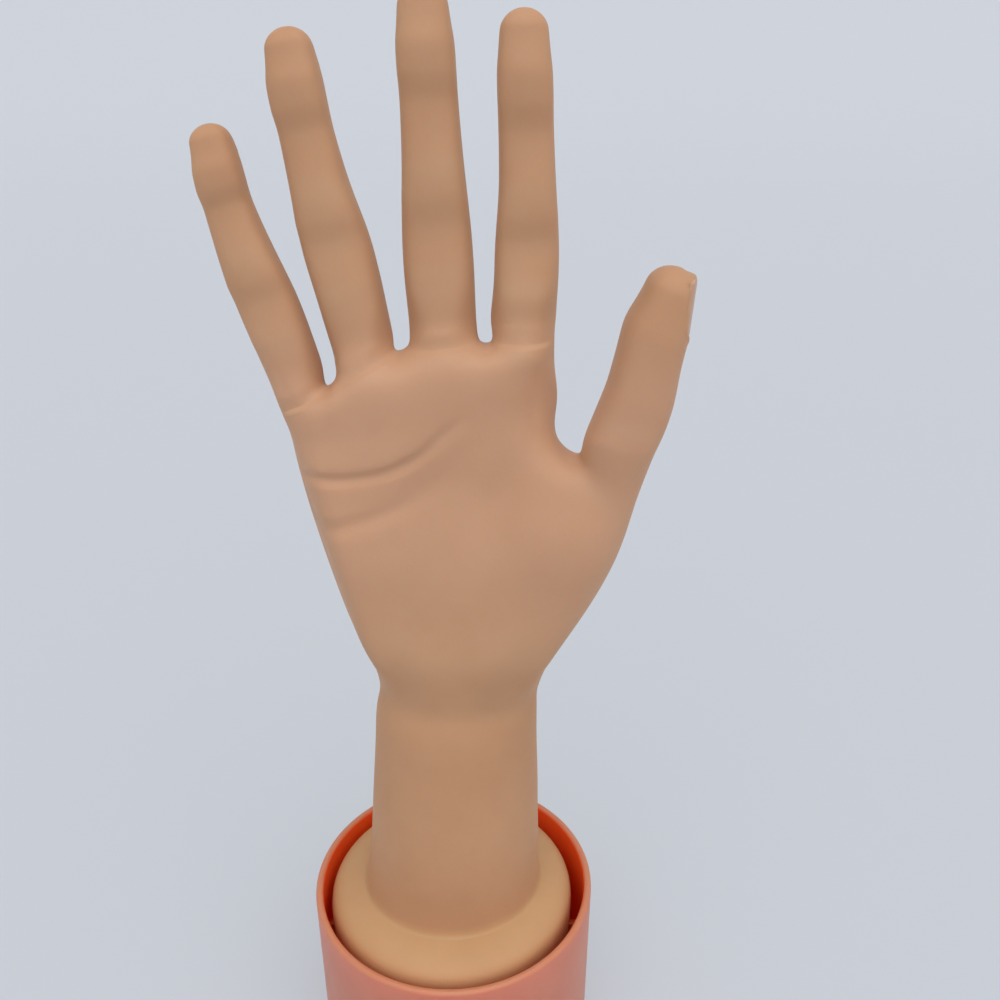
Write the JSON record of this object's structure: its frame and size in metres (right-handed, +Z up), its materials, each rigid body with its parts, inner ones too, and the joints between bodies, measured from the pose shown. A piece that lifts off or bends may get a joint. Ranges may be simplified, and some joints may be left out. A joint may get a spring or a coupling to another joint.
{
  "type": "hand mannequin",
  "caption": "Life-size posable right-hand mannequin: soft skin and nails over a jointed frame, upright in a round coral cup in which it turns and from which it lifts out.",
  "frame": {"origin": "centre of the cup's flat underside", "axes": "+Z up along the forearm, -Y out of the palm, +X to the thumb side"},
  "size_m": [0.1181, 0.0906, 0.3284],
  "materials": {
    "skin": "soft matte vinyl skin",
    "nail": "bare semi-gloss nail",
    "frame": "moulded off-white plastic",
    "pin": "plain turned steel",
    "cup": "coral moulded plastic, thin enough to glow at the rim",
    "plug": "dark moulded plastic"
  },
  "bodies": {
    "base": {"base_cup": "cup"},
    "plug": {"base_plug": "plug"},
    "forearm": {"forearm_skin": "skin", "forearm_post": "frame", "pivot_bolt": "pin", "wrist_pin": "pin"},
    "palm": {"palm_skin": "skin", "palm_frame": "frame", "index_base_pin": "pin", "middle_base_pin": "pin", "ring_base_pin": "pin", "little_base_pin": "pin", "thumb_base_pin": "pin"},
    "index_proximal": {"index_proximal_skin": "skin", "index_proximal_link": "frame", "index_middle_pin": "pin"},
    "index_middle": {"index_middle_skin": "skin", "index_middle_link": "frame", "index_end_pin": "pin"},
    "index_distal": {"index_distal_skin": "skin", "index_distal_link": "frame", "index_nail": "nail"},
    "middle_proximal": {"middle_proximal_skin": "skin", "middle_proximal_link": "frame", "middle_middle_pin": "pin"},
    "middle_middle": {"middle_middle_skin": "skin", "middle_middle_link": "frame", "middle_end_pin": "pin"},
    "middle_distal": {"middle_distal_skin": "skin", "middle_distal_link": "frame", "middle_nail": "nail"},
    "ring_proximal": {"ring_proximal_skin": "skin", "ring_proximal_link": "frame", "ring_middle_pin": "pin"},
    "ring_middle": {"ring_middle_skin": "skin", "ring_middle_link": "frame", "ring_end_pin": "pin"},
    "ring_distal": {"ring_distal_skin": "skin", "ring_distal_link": "frame", "ring_nail": "nail"},
    "little_proximal": {"little_proximal_skin": "skin", "little_proximal_link": "frame", "little_middle_pin": "pin"},
    "little_middle": {"little_middle_skin": "skin", "little_middle_link": "frame", "little_end_pin": "pin"},
    "little_distal": {"little_distal_skin": "skin", "little_distal_link": "frame", "little_nail": "nail"},
    "thumb_proximal": {"thumb_proximal_skin": "skin", "thumb_proximal_link": "frame", "thumb_end_pin": "pin"},
    "thumb_distal": {"thumb_distal_skin": "skin", "thumb_distal_link": "frame", "thumb_nail": "nail"}
  },
  "joints": [
    {"name": "hand_lift", "type": "slide", "parent": "base", "child": "plug", "axis": [0, 0, 1], "range_m": [0, 0.03]},
    {"name": "hand_turn", "type": "hinge", "parent": "plug", "child": "forearm", "pos_m": [0, 0, 0.05], "axis": [0, 0, 1], "continuous": true},
    {"name": "wrist_bend", "type": "hinge", "parent": "forearm", "child": "palm", "pos_m": [0.003, 0, 0.142], "axis": [1, 0, 0], "range_deg": [-20, 30], "deforming": ["forearm_skin", "palm_skin"]},
    {"name": "index_base_bend", "type": "hinge", "parent": "palm", "child": "index_proximal", "pos_m": [0.02087, 0.001, 0.2535], "axis": [1, 0, 0.0039], "range_deg": [-10, 50], "deforming": ["palm_skin", "index_proximal_skin"]},
    {"name": "index_middle_bend", "type": "hinge", "parent": "index_proximal", "child": "index_middle", "pos_m": [0.0208, 0.001, 0.272], "axis": [1, 0, 0.0039], "range_deg": [0, 75], "deforming": ["index_proximal_skin", "index_middle_skin"]},
    {"name": "index_end_bend", "type": "hinge", "parent": "index_middle", "child": "index_distal", "pos_m": [0.0207, 0.001, 0.2973], "axis": [1, 0, 0.0039], "range_deg": [0, 50], "deforming": ["index_middle_skin", "index_distal_skin"]},
    {"name": "middle_base_bend", "type": "hinge", "parent": "palm", "child": "middle_proximal", "pos_m": [0.00056, 0.002, 0.2529], "axis": [0.9993, 0, 0.0365], "range_deg": [-10, 50], "deforming": ["palm_skin", "middle_proximal_skin"]},
    {"name": "middle_middle_bend", "type": "hinge", "parent": "middle_proximal", "child": "middle_middle", "pos_m": [-0.00027, 0.002, 0.27558], "axis": [0.9993, 0, 0.0365], "range_deg": [0, 75], "deforming": ["middle_proximal_skin", "middle_middle_skin"]},
    {"name": "middle_end_bend", "type": "hinge", "parent": "middle_middle", "child": "middle_distal", "pos_m": [-0.0013, 0.002, 0.30386], "axis": [0.9993, 0, 0.0365], "range_deg": [0, 50], "deforming": ["middle_middle_skin", "middle_distal_skin"]},
    {"name": "ring_base_bend", "type": "hinge", "parent": "palm", "child": "ring_proximal", "pos_m": [-0.02012, 0.001, 0.2479], "axis": [0.9852, 0, 0.1716], "range_deg": [-10, 50], "deforming": ["palm_skin", "ring_proximal_skin"]},
    {"name": "ring_middle_bend", "type": "hinge", "parent": "ring_proximal", "child": "ring_middle", "pos_m": [-0.02432, 0.001, 0.27204], "axis": [0.9852, 0, 0.1716], "range_deg": [0, 75], "deforming": ["ring_proximal_skin", "ring_middle_skin"]},
    {"name": "ring_end_bend", "type": "hinge", "parent": "ring_middle", "child": "ring_distal", "pos_m": [-0.02871, 0.001, 0.29726], "axis": [0.9852, 0, 0.1716], "range_deg": [0, 50], "deforming": ["ring_middle_skin", "ring_distal_skin"]},
    {"name": "little_base_bend", "type": "hinge", "parent": "palm", "child": "little_proximal", "pos_m": [-0.03705, -0.001, 0.23879], "axis": [0.9673, 0, 0.2538], "range_deg": [-10, 50], "deforming": ["palm_skin", "little_proximal_skin"]},
    {"name": "little_middle_bend", "type": "hinge", "parent": "little_proximal", "child": "little_middle", "pos_m": [-0.04213, -0.001, 0.25813], "axis": [0.9673, 0, 0.2538], "range_deg": [0, 75], "deforming": ["little_proximal_skin", "little_middle_skin"]},
    {"name": "little_end_bend", "type": "hinge", "parent": "little_middle", "child": "little_distal", "pos_m": [-0.04814, -0.001, 0.28106], "axis": [0.9673, 0, 0.2538], "range_deg": [0, 50], "deforming": ["little_middle_skin", "little_distal_skin"]},
    {"name": "thumb_base_bend", "type": "hinge", "parent": "palm", "child": "thumb_proximal", "pos_m": [0.04613, -0.012, 0.22389], "axis": [0, -1, 0], "range_deg": [-10, 15], "deforming": ["palm_skin", "thumb_proximal_skin"]},
    {"name": "thumb_end_bend", "type": "hinge", "parent": "thumb_proximal", "child": "thumb_distal", "pos_m": [0.0495, -0.012, 0.23799], "axis": [0, -1, 0], "range_deg": [0, 40], "deforming": ["thumb_proximal_skin", "thumb_distal_skin"]}
  ]
}
